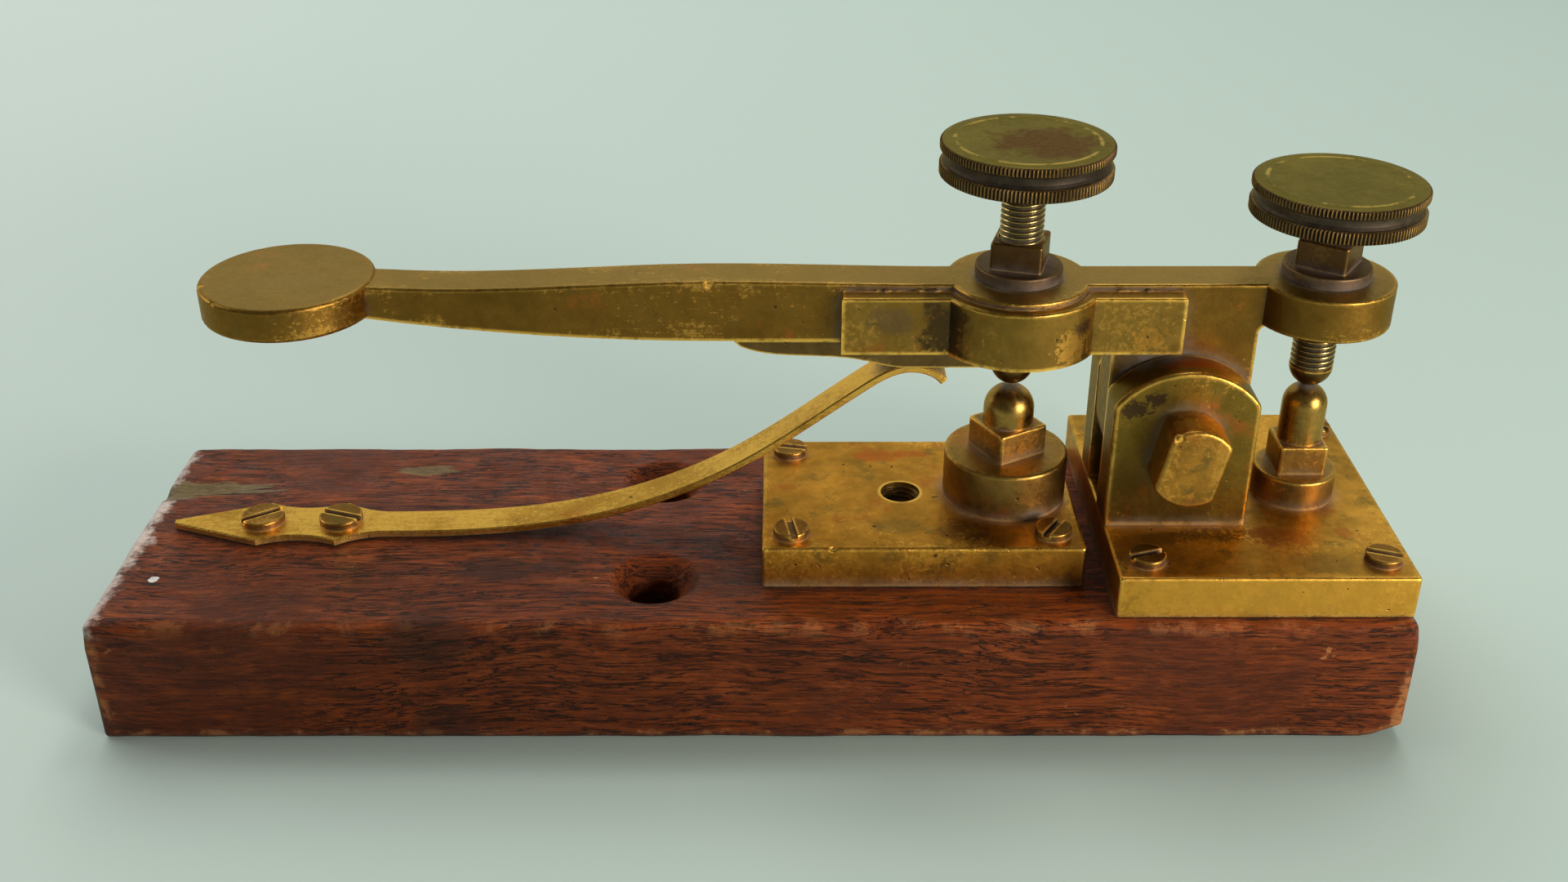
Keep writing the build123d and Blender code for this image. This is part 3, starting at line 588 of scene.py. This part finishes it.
def knob_top_brass(name, axis_x, top, brown_stain, seed):
    """Dull olive brass for a knob's face, with or without its brown stain."""
    stain = ((axis_x + 2.8 * MM, -1.2 * MM, top), (14.0 * MM, 11.0 * MM, 8 * MM), (0.100, 0.034, 0.012), 0.9)
    marks = [stain] if brown_stain else []

    def ridge_band(shader):
        worn_ring = crest_band(knob_radius, 0.55 * MM, [axis_x])(shader)
        off = shader.math("ABSOLUTE", shader.math("SUBTRACT", shader.axis_distance(axis_x), ridge_radius))
        on_ridge = shader.step(off, 0.45 * MM, 0.15 * MM)
        patchy = shader.step(shader.noise(150.0, 6.0, 0.7), 0.47, 0.56)
        return shader.math("MAXIMUM", worn_ring, shader.math("MULTIPLY", on_ridge, patchy))

    return aged_brass(name, (0.165, 0.130, 0.026), (0.55, 0.38, 0.085), worn=0.0, tone=0.22, copper=0.0,
                      green=0.25, pits=0.1, rough=(0.36, 0.46), edge_size=0.3 * MM, dust=0.1, rings=0.2,
                      waviness=0.4, seed=seed, marks=marks, bright_band=ridge_band)


def knob(end, brown_stain, seed):
    """The grooved thumb disc: ringed face, two knurled rims and a round-bottomed groove between them."""
    low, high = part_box(f"{end}_adjusting_screw")
    axis_x, top, r, ridge = (low.x + high.x) / 2, high.z, knob_radius, ridge_radius
    rows = [  # radius, depth below the top, share of knurling, material
        (0.30 * r, 0.08, 0.0, 0), (0.60 * r, 0.08, 0.0, 0), (ridge - 0.45 * MM, 0.08, 0.0, 0),
        (ridge - 0.30 * MM, 0.07, 0.0, 0), (ridge - 0.10 * MM, 0.0, 0.0, 0), (ridge + 0.10 * MM, 0.0, 0.0, 0),
        (ridge + 0.30 * MM, 0.07, 0.0, 0), (ridge + 0.45 * MM, 0.08, 0.0, 0), (r - 0.75 * MM, 0.07, 0.0, 0),
        (r - 0.38 * MM, 0.10, 0.0, 0), (r - 0.14 * MM, 0.20, 0.45, 1), (r, 0.38, 1.0, 1), (r, 1.22, 1.0, 1),
        (r - 0.15 * MM, 1.40, 0.5, 1), (r - 0.60 * MM, 1.50, 0.0, 2), (r - 0.92 * MM, 1.80, 0.0, 2),
        (r - 1.05 * MM, 2.30, 0.0, 2), (r - 1.00 * MM, 2.85, 0.0, 2), (r - 0.70 * MM, 3.25, 0.0, 2),
        (r - 0.15 * MM, 3.40, 0.5, 1), (r, 3.58, 1.0, 1), (r, 5.00, 1.0, 1), (r - 0.14 * MM, 5.18, 0.6, 1),
        (r - 0.45 * MM, KNOB_DEPTH, 0.0, 1), (0.6 * r, KNOB_DEPTH, 0.0, 2),
    ]
    profile = [(radius, top - depth * MM) for radius, depth, knurl, material in rows]

    def knurling(row, angle):
        valley = 0.5 - 0.5 * math.cos(TEETH * angle)
        return -TOOTH_DEPTH * rows[row][2] * (1 - valley ** 0.6)

    rings = turned(axis_x, profile, TEETH * TOOTH_SEGMENTS, radius_change=knurling)
    materials = []
    for row, next_row in zip(rows, rows[1:]):
        here, following = row[-1], next_row[-1]
        materials.append(max(here, following) if following == 1 else here)
    builder = rings_to_bmesh(rings, ring_materials=materials)
    top_brass = knob_top_brass(f"{end}_knob_face", axis_x, top, brown_stain, seed)
    add_piece(f"{end}_knob", builder, [top_brass, knurl_brass, groove_brass],
              f"{end}_screw", (f"{end}_adjusting_screw",), 28.0)


def thread_surface(low_z, high_z, radius, depth, segments, rows_per_turn, inward=False):
    """Rings (radius, angle, height) of a right-handed screw thread, fading out at both ends. radius is
    its crest; inward, it is the bottom of its groove and the crests stand in by depth."""
    count = int((high_z - low_z) / THREAD_PITCH * rows_per_turn)
    rings = []
    for row in range(count + 1):
        z = low_z + (high_z - low_z) * row / count
        fade = min(1.0, (z - low_z) / THREAD_TAPER, (high_z - z) / THREAD_TAPER)
        ring = []
        for i in range(segments):
            angle = 2 * math.pi * i / segments
            phase = (z / THREAD_PITCH - i / segments) % 1.0
            crest = 0.5 + 0.5 * math.cos(2 * math.pi * phase)
            here = radius - depth * (crest * fade if inward else 1 - crest ** 0.8 * fade)
            ring.append((here, angle, z))
        rings.append(ring)
    return rings


def polar(rings, x, y):
    """Rings of (radius, angle, height) about the vertical axis at x, y, as points."""
    return [[Vector((x + r * math.cos(a), y + r * math.sin(a), z)) for r, a, z in ring] for ring in rings]


def threaded_shank(end):
    """The adjusting screw's threaded shank, from inside the knob to the contact tip."""
    low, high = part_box(f"{end}_adjusting_screw")
    axis_x = (low.x + high.x) / 2
    rings = thread_surface(low.z, high.z - (KNOB_DEPTH - 0.4) * MM, thread_radius, THREAD_DEPTH, 56, 10)
    builder = rings_to_bmesh(polar(rings, axis_x, 0.0))
    add_piece(f"{end}_thread", builder, [thread_brass], f"{end}_screw", (), 60.0)


knob("front", True, 7.0)
knob("rear", False, 8.5)
threaded_shank("front")
threaded_shank("rear")


# ---------------------------------------------------------------- thread in the terminal hole

def terminal_thread():
    """The female thread standing in from the terminal hole's wall."""
    x, y, top = mounts["terminal_hole"]["pos_m"]
    wall = mounts["terminal_hole"]["dims"]["r_mm"] * MM + WALL_OVERLAP
    groove = wall - WALL_OVERLAP
    thread = thread_surface(plate_low.z + 0.2 * MM, top - 0.55 * MM, groove, THREAD_DEPTH, 64, 10, True)
    outer = [[(wall, a, z) for r, a, z in ring] for ring in (thread[-1], thread[0])]
    builder = rings_to_bmesh(polar(thread + outer, x, y), joined=True)
    add_piece("terminal_thread", builder, [bore_painted_shade_brass], "base", (), 60.0)


terminal_thread()


# ---------------------------------------------------------------- leaf spring

spring_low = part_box("leaf_spring")[0]
rest_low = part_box("spring_rest")[0]
SPRING_THICKNESS = 1.2 * MM
SPRING_HALF_WIDTH = 3.2 * MM
SPRING_BEVEL = 0.22 * MM
NECK_X = -60.5 * MM
ANCHOR_OUTLINE = [  # x and half width in millimetres: point, lobe, waist, lobe, neck
    (-94.5, 0.6), (-93.5, 1.0), (-80.4, 5.75), (-80.0, 5.85), (-79.6, 5.6), (-77.5, 4.85), (-75.5, 4.45),
    (-73.75, 4.35), (-72.0, 4.45), (-70.0, 4.85), (-67.9, 5.6), (-67.4, 5.85), (-67.0, 5.65),
    (-65.5, 4.65), (-63.9, 3.95), (-62.2, 3.45), (-60.5, 3.2),
]
SPRING_KNOTS = [(-29.8, 24.2), (-3.0, 34.2), (17.2, 48.4)]  # x and z in millimetres, between neck and crest
CREST_X = 24.3 * MM
CURL_TIP = (29.4 * MM, 49.4 * MM)


def clamped_spline(knots, start_slope, end_slope, per_span):
    """Points on a smooth curve through knots (x, z), with its end directions given."""
    knots = np.array(knots)
    lengths = np.linalg.norm(np.diff(knots, axis=0), axis=1)
    count = len(knots)
    matrix = np.zeros((count, count))
    right = np.zeros((count, 2))
    matrix[0, 0] = matrix[-1, -1] = 1.0
    right[0] = np.array(start_slope) / np.linalg.norm(start_slope)
    right[-1] = np.array(end_slope) / np.linalg.norm(end_slope)
    for i in range(1, count - 1):
        before, after = lengths[i - 1], lengths[i]
        matrix[i, i - 1:i + 2] = after, 2 * (before + after), before
        to_here, onward = knots[i] - knots[i - 1], knots[i + 1] - knots[i]
        right[i] = 3 * (after / before * to_here + before / after * onward)
    slopes = np.linalg.solve(matrix, right)
    points = []
    for i in range(count - 1):
        for t in np.linspace(0, 1, per_span, endpoint=i == count - 2):
            h = lengths[i]
            points.append((2 * t**3 - 3 * t**2 + 1) * knots[i] + (t**3 - 2 * t**2 + t) * h * slopes[i]
                          + (3 * t**2 - 2 * t**3) * knots[i + 1] + (t**3 - t**2) * h * slopes[i + 1])
    return points


def spring_section(middle, along, half_width):
    """An eight-cornered bevelled section of the spring across its run."""
    up = Vector((-along.z, 0, along.x))
    half = SPRING_THICKNESS / 2
    corners = [(-half_width + SPRING_BEVEL, half), (half_width - SPRING_BEVEL, half),
               (half_width, half - SPRING_BEVEL), (half_width, -half + SPRING_BEVEL),
               (half_width - SPRING_BEVEL, -half), (-half_width + SPRING_BEVEL, -half),
               (-half_width, -half + SPRING_BEVEL), (-half_width, half - SPRING_BEVEL)]
    return [middle + Vector((0, across, 0)) + up * rise for across, rise in corners]


def leaf_spring():
    """Pointed anchor plate, then the strip that rises to the lever and curls down at its end."""
    flat_z = spring_low.z + SPRING_THICKNESS / 2
    crest_z = rest_low.z - SPRING_THICKNESS / 2 - 0.02 * MM
    middle_knots = [(x * MM, z * MM) for x, z in SPRING_KNOTS]
    knots = [(NECK_X, flat_z)] + middle_knots + [(CREST_X, crest_z), CURL_TIP]
    run = clamped_spline(knots, (1, 0), (0.75, -1), 16)
    sections = [(Vector((x * MM, 0, flat_z)), half * MM) for x, half in ANCHOR_OUTLINE[:-1]]
    sections += [(Vector((x, 0, z)), SPRING_HALF_WIDTH) for x, z in run]
    rings = []
    for index, (middle, half_width) in enumerate(sections):
        before = sections[max(0, index - 1)][0]
        after = sections[min(len(sections) - 1, index + 1)][0]
        rings.append(spring_section(middle, (after - before).normalized(), half_width))
    piece = add_piece("bent_leaf_spring", rings_to_bmesh(rings), [spring_brass], None,
                      ("leaf_spring",), 30.0)
    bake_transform(piece)


spring_brass = aged_brass("spring_brass", (0.62, 0.31, 0.045), (0.90, 0.50, 0.088), worn=0.75, tone=0.18,
                          copper=0.15, green=0.05, pits=0.45, rough=(0.26, 0.38), edge_size=0.35 * MM,
                          dust=0.5, rings=0.2, brushed=0.8, waviness=0.6, seed=9.0)
leaf_spring()


# ---------------------------------------------------------------- solder along the collar

solder = aged_brass("collar_solder", (0.100, 0.062, 0.028), (0.48, 0.27, 0.07), worn=0.35, copper=0.1,
                    green=0.0, rough=(0.45, 0.65), edge_size=0.3 * MM, edge_wear=0.3, dust=0.6, rings=0.0,
                    seed=10.0)
BOSS_RADIUS = 10.8 * MM
SEAM_STEP = 0.35 * MM
SEAM_PROFILE = (  # millimetres out from the lever and up from the collar's top
    (-0.2, 0.60), (0.08, 0.60), (0.26, 0.52), (0.42, 0.34), (0.52, 0.10), (0.56, -0.12), (-0.2, -0.12),
)
PAD_SEAM = (0.75, 0.85)  # lumpiness and size beside the pads
RING_SEAM = (0.15, 0.40)  # and around the half ring
lever_side_y = collar_high.y


def seam_path():
    """Places along the top of the collar: (point, outward direction, seam kind)."""
    boss_x = (knob_low.x + knob_high.x) / 2
    reach = math.sqrt(BOSS_RADIUS**2 - lever_side_y**2)
    path = []
    x = collar_low.x + 0.2 * MM
    while x < boss_x - reach:
        path.append((Vector((x, lever_side_y, collar_high.z)), Vector((0, -1, 0)), PAD_SEAM))
        x += SEAM_STEP
    first, last = math.atan2(lever_side_y, -reach), math.atan2(lever_side_y, reach)
    turns = 64
    for i in range(turns + 1):
        angle = first + (last - first) * i / turns
        outward = Vector((math.cos(angle), math.sin(angle), 0))
        path.append((Vector((boss_x, 0, collar_high.z)) + outward * BOSS_RADIUS, outward, RING_SEAM))
    x = boss_x + reach + SEAM_STEP
    while x < collar_high.x - 0.2 * MM:
        path.append((Vector((x, lever_side_y, collar_high.z)), Vector((0, -1, 0)), PAD_SEAM))
        x += SEAM_STEP
    return path


def collar_seam():
    """A lumpy fillet of solder where the collar meets the lever's side and its boss."""
    rings = []
    for point, outward, (lumps, size) in seam_path():
        lump = 1.1 * noise.noise(point * 330) + 0.9 * noise.noise(point * 1200)
        swell = max(0.15, 0.55 + lumps * lump)
        ring = []
        for out, up in SEAM_PROFILE:
            offset = outward * out * swell * size + Vector((0, 0, up * size * min(1.2, swell)))
            ring.append(point + offset * MM)
        rings.append(ring)
    add_piece("collar_solder", rings_to_bmesh(rings), [solder], "lever", (), 60.0)


collar_seam()


# ---------------------------------------------------------------- brass on the CAD's own nodes

plate_top = plate_high.z
boss_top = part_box("front_lock_washer")[0].z  # the lever's highest flat face


def mark(x, y, z, size_x, size_y, colour, strength):
    """A stain, with its place in the object's millimetres."""
    return ((x * MM, y * MM, z), (size_x * MM, size_y * MM, 5 * MM), colour, strength)


orange_stain = (0.50, 0.105, 0.018)
dark_stain = (0.10, 0.062, 0.024)
soot = (0.045, 0.026, 0.016)
plate_brass = aged_brass(
    "plate_brass", (0.52, 0.235, 0.0290), (0.88, 0.440, 0.062), worn=0.40, tone=0.30, copper=0.22,
    green=0.30, pits=0.5, rough=(0.26, 0.40), seed=11.0,
    marks=[mark(19.9, 11.5, plate_top, 7, 3, orange_stain, 0.7),
           mark(25.9, 12.1, plate_top, 6, 2, orange_stain, 0.6),
           mark(32.7, -12.3, plate_top, 8, 5, dark_stain, 0.5),
           mark(22.6, -11.1, plate_top, 7, 4, VERDIGRIS, 0.4),
           mark(36.0, -15.0, plate_top, 8, 3, dark_stain, 0.4)],
    nicks=[((12.3 * MM, -17.5 * MM, plate_top), (0.9 * MM, 0.9 * MM, 0.9 * MM))])
fork_brass = aged_brass(
    "fork_brass", (0.53, 0.260, 0.0370), (0.86, 0.430, 0.060), worn=0.38, tone=0.32, copper=0.18,
    green=0.25, pits=0.5, rough=(0.26, 0.40), seed=12.5,
    marks=[mark(85.9, -21.5, plate_top, 9, 5, dark_stain, 0.4),
           mark(73.0, -13.4, plate_top, 13, 4, dark_stain, 0.6),
           mark(64.0, -14.5, plate_top, 9, 3, dark_stain, 0.5),
           mark(80.0, -14.0, plate_top, 9, 5, COPPER, 0.6),
           # Painted highlight: the fork plate's front face is painted bright gold, standing in for the
           # front-right light on it.
           ((77.0 * MM, fork_low.y, 24.6 * MM), (60 * MM, 2.5 * MM, 14 * MM), (0.86, 0.42, 0.055), 0.6)])
cheek_brass = aged_brass(
    "cheek_brass", (0.200, 0.122, 0.0200), (0.66, 0.327, 0.0504), worn=0.16, tone=0.22, copper=0.20,
    green=0.15, pits=0.3, rough=(0.28, 0.42), edge_size=1.2 * MM, edge_wear=1.0, seed=14.0,
    marks=[((62.0 * MM, -10.7 * MM, 33.0 * MM), (15 * MM, 6 * MM, 13 * MM), (0.085, 0.052, 0.014), 0.55),
           ((65.6 * MM, -7.0 * MM, 55.2 * MM), (13 * MM, 3.4 * MM, 4 * MM), (0.34, 0.085, 0.018), 0.9)],
    freckles=[((57.6 * MM, -10.7 * MM, 48.4 * MM), (4.5 * MM, 3 * MM, 3.0 * MM), soot, 0.85),
              ((60.6 * MM, -10.7 * MM, 50.2 * MM), (3.4 * MM, 3 * MM, 2.2 * MM), soot, 0.85)])
# The lever's level faces get a painted sheen.
lever_brass = aged_brass(
    "lever_brass", (0.200, 0.100, 0.0160), (0.6, 0.31, 0.059), worn=0.18, tone=0.20, copper=0.05,
    green=0.10, pits=0.25, rough=(0.28, 0.40), edge_size=0.8 * MM, seed=16.0, sheen_share=0.30, rings=0.15,
    brushed=0.5,
    marks=[mark(-70.3, -2.6, boss_top, 12, 7, (0.24, 0.125, 0.045), 0.4)],
    nicks=[((x * MM, y * MM, boss_top), (1.1 * MM, 1.0 * MM, 1.3 * MM))
           for x, y in ((-82.2, -4.1), (-78.9, -10.2), (-76.8, 11.2), (-6.4, -3.6), (-49.5, 0.5))])
collar_brass = aged_brass(
    "collar_brass", (0.245, 0.138, 0.0250), (0.48, 0.250, 0.0450), worn=0.14, tone=0.22, copper=0.12,
    green=0.05, pits=0.3, rough=(0.28, 0.42), edge_size=0.9 * MM, edge_wear=1.0, seed=17.0, rings=0.15,
    freckles=[((47.5 * MM, -10.5 * MM, 58.5 * MM), (6 * MM, 6 * MM, 5.5 * MM), (0.68, 0.36, 0.065), 0.50),
              ((59.5 * MM, -6.6 * MM, 58.5 * MM), (5 * MM, 3 * MM, 4 * MM), (0.58, 0.26, 0.040), 0.35),
              ((49.0 * MM, -9.5 * MM, 61.5 * MM), (3 * MM, 4 * MM, 2.5 * MM), (0.050, 0.024, 0.024), 0.7)],
    marks=[((21.0 * MM, -6.6 * MM, 61.0 * MM), (6 * MM, 3 * MM, 4 * MM), (0.125, 0.078, 0.045), 0.5),
           ((28.4 * MM, -9.0 * MM, 60.0 * MM), (6 * MM, 9 * MM, 14 * MM), (0.055, 0.033, 0.014), 0.9)])
pin_brass = aged_brass(
    "pin_brass", (0.37, 0.172, 0.0259), (0.66, 0.327, 0.054), worn=0.42, tone=0.35, copper=0.12,
    green=0.25, pits=0.6, rough=(0.30, 0.42), edge_size=1.0 * MM, seed=18.0,
    nicks=[((62.8 * MM, -18.0 * MM, 47.5 * MM), (1.2 * MM, 1.2 * MM, 1.2 * MM))])
contact_brass = aged_brass(
    "contact_brass", (0.38, 0.220, 0.0480), (0.72, 0.387, 0.0792), worn=0.40, tone=0.25, copper=0.08,
    green=0.10, pits=0.2, rough=(0.20, 0.30), edge_size=0.6 * MM, waviness=0.5, seed=19.0)
tip_brass = aged_brass(
    "tip_brass", (0.155, 0.0903, 0.0288), (0.5, 0.275, 0.072), worn=0.20, tone=0.25, copper=0.0,
    green=0.20, pits=0.1, rough=(0.22, 0.36), edge_size=0.4 * MM, dust=0.3, waviness=0.3, rings=0.0,
    seed=19.5)
pedestal_brass = aged_brass(
    "pedestal_brass", (0.30, 0.165, 0.0400), (0.66, 0.318, 0.054), worn=0.25, tone=0.30,
    green=0.10, rough=(0.28, 0.42), edge_size=0.9 * MM, edge_wear=1.0, seed=20.0)
nut_brass = aged_brass(
    "nut_brass", (0.10, 0.0480, 0.0170), (0.16, 0.080, 0.0250), worn=0.0, tone=0.22, copper=0.10,
    green=0.0, pits=0.2, rough=(0.30, 0.42), edge_size=0.35 * MM, edge_wear=0.8, rings=0.0, seed=21.0)
washer_brass = aged_brass(
    "washer_brass", (0.150, 0.092, 0.052), (0.30, 0.185, 0.085), worn=0.25, tone=0.20, copper=0.0,
    green=0.0, pits=0.1, rough=(0.40, 0.52), edge_size=0.35 * MM, edge_wear=0.35, rings=0.0, seed=22.0)
screw_brass = aged_brass(
    "screw_brass", (0.25, 0.116, 0.0259), (0.56, 0.275, 0.054), worn=0.25, tone=0.30, copper=0.20,
    rough=(0.28, 0.42), edge_size=0.5 * MM, edge_wear=1.0, dust=0.6, rings=0.0, seed=23.0)

node_materials = {
    "contact_plate": plate_brass, "fork_plate": fork_brass,
    "near_cheek": cheek_brass, "far_cheek": cheek_brass,
    "lever": lever_brass, "spring_rest": tip_brass, "lever_collar": collar_brass,
    "pivot_pin": pin_brass, "pivot_nut": pin_brass,
    "front_stud": contact_brass, "rear_stud": contact_brass,
    "front_contact_tip": tip_brass, "rear_contact_tip": tip_brass,
    "front_stud_nut": pedestal_brass, "rear_stud_nut": pedestal_brass,
    "front_pedestal": pedestal_brass, "rear_pedestal": pedestal_brass,
    "front_lock_nut": nut_brass, "rear_lock_nut": nut_brass,
    "front_lock_washer": washer_brass, "rear_lock_washer": washer_brass,
    "contact_plate_screws": screw_brass, "fork_plate_screws": screw_brass, "spring_screws": screw_brass,
}
for name, material in node_materials.items():
    frame["nodes"][name].data.materials.clear()
    frame["nodes"][name].data.materials.append(material)


# ---------------------------------------------------------------- floor, light and camera

FLOOR_SIZE = 8.0
FLOOR_SHIFT = 1.5  # the floor's middle lies this far behind the key
SKY_COLOUR = (0.86, 0.94, 0.90, 1.0)
BACK_SKY = 0.72
FRONT_SKY = 0.12
LIT_POINT = Vector((0.0, 0.0, 0.03))
LIGHTS = (  # name, place, size, watts, tint, whether the brass mirrors it
    ("key_behind", (-0.25, 0.60, 1.00), 1.2, 9.5, (1.0, 0.97, 0.94), False),
    ("front_right", (0.55, -0.50, 0.20), 0.28, 5.2, (1.0, 0.94, 0.86), True),
    ("left_rim", (-1.00, 0.25, 0.45), 0.4, 1.6, (0.95, 0.98, 1.0), True),
    ("top_glint", (0.25, 0.45, 1.10), 0.3, 1.6, (1.0, 0.97, 0.92), True),
)
CAMERA_PLACE = (4.46 * MM, -233.58 * MM, 166.02 * MM)
CAMERA_PITCH = math.radians(90 - 28.85)  # looking down by 28.85 degrees
CAMERA_ROLL = -0.0014
SENSOR_WIDTH = 36.0
FOCAL_LENGTH = 38.503


def lay_floor():
    """A pale floor under the base, kept out of the part."""
    bpy.ops.mesh.primitive_plane_add(size=FLOOR_SIZE, location=(0, FLOOR_SHIFT, base_low.z))
    floor = bpy.context.object
    floor.name = "studio_floor"
    floor.data.materials.append(floor_paint("floor_paint"))


def hang_sky():
    """A pale sky, brightest behind the key and dark behind the camera."""
    world = bpy.data.worlds.new("studio_world")
    bpy.context.scene.world = world
    world.use_nodes = True
    nodes, links = world.node_tree.nodes, world.node_tree.links
    direction = nodes.new("ShaderNodeTexCoord").outputs["Generated"]
    split = nodes.new("ShaderNodeSeparateXYZ")
    links.new(direction, split.inputs[0])
    brightness = nodes.new("ShaderNodeMapRange")
    brightness.interpolation_type = "SMOOTHSTEP"
    links.new(split.outputs["Y"], brightness.inputs["Value"])
    for key, value in (("From Min", -0.2), ("From Max", 0.8), ("To Min", FRONT_SKY), ("To Max", BACK_SKY)):
        brightness.inputs[key].default_value = value
    links.new(brightness.outputs[0], nodes["Background"].inputs["Strength"])
    nodes["Background"].inputs["Color"].default_value = SKY_COLOUR


def hang_lights():
    """Soft square lamps, all turned to the key."""
    for name, place, size, power, tint, mirrored in LIGHTS:
        light = bpy.data.lights.new(name, "AREA")
        light.size = size
        light.energy = power
        light.color = tint
        lamp = bpy.data.objects.new(name, light)
        bpy.context.scene.collection.objects.link(lamp)
        lamp.location = place
        lamp.rotation_euler = (LIT_POINT - Vector(place)).to_track_quat("-Z", "Y").to_euler()
        lamp.visible_glossy = mirrored


def place_camera():
    """The camera, standing where the photograph was taken from."""
    camera = bpy.data.cameras.new("camera")
    camera.sensor_width = SENSOR_WIDTH
    camera.lens = FOCAL_LENGTH
    camera.clip_start = 0.01
    viewer = bpy.data.objects.new("camera", camera)
    bpy.context.scene.collection.objects.link(viewer)
    viewer.location = CAMERA_PLACE
    viewer.rotation_euler = (CAMERA_PITCH, 0.0, CAMERA_ROLL)
    bpy.context.scene.camera = viewer


lay_floor()
hang_sky()
hang_lights()
place_camera()
bpy.context.scene.view_settings.view_transform = "Standard"
